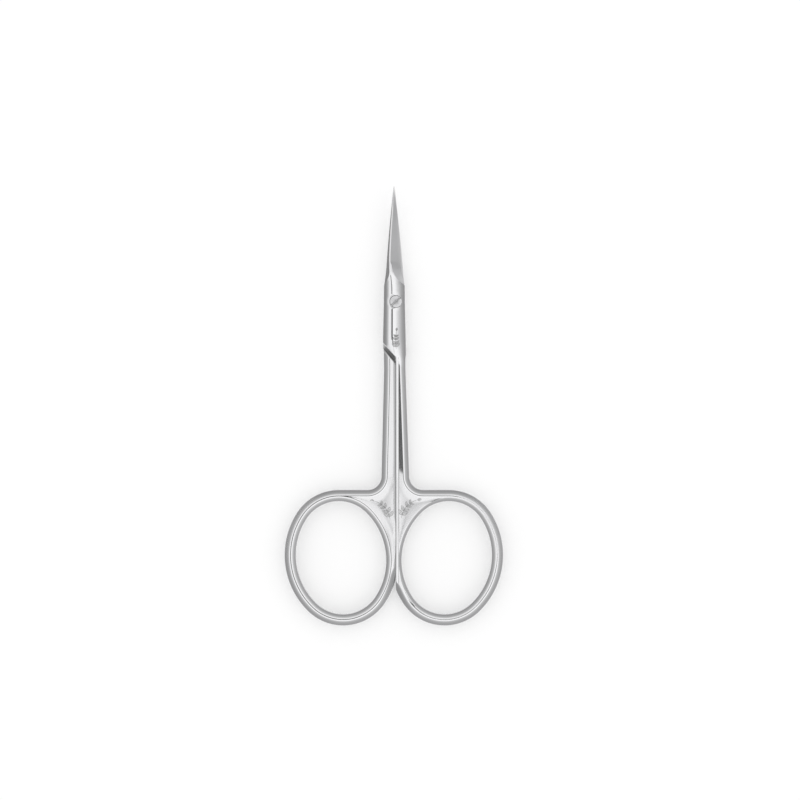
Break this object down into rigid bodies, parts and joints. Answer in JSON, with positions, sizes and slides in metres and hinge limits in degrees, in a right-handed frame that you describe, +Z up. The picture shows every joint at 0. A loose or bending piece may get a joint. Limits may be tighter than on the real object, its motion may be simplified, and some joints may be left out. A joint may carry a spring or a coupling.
{
  "type": "cuticle scissors",
  "caption": "Fine pointed steel cuticle scissors with slim curved blades, a slotted pivot screw and large oval finger bows.",
  "frame": {"origin": "on the pivot axis, at the flat back of the joint that the closed scissors lie on", "axes": "+Y from the pivot to the tips, +X towards the bow of the upper half, +Z up out of the back, along the pivot axis towards the screw head"},
  "size_m": [0.0526, 0.1053, 0.0054],
  "materials": {
    "polished_steel": "fine satin polish on bows, shanks and joint, ground satin bevels on the blades",
    "screw_steel": "turned and lightly polished"
  },
  "bodies": {
    "lower": {"lower_half": "polished_steel", "pivot_screw": "screw_steel"},
    "upper": {"upper_half": "polished_steel"}
  },
  "joints": [
    {"name": "pivot", "type": "hinge", "parent": "lower", "child": "upper", "pos_m": [0, 0, 0.002], "axis": [0, 0, 1], "range_deg": [0, 50]}
  ]
}
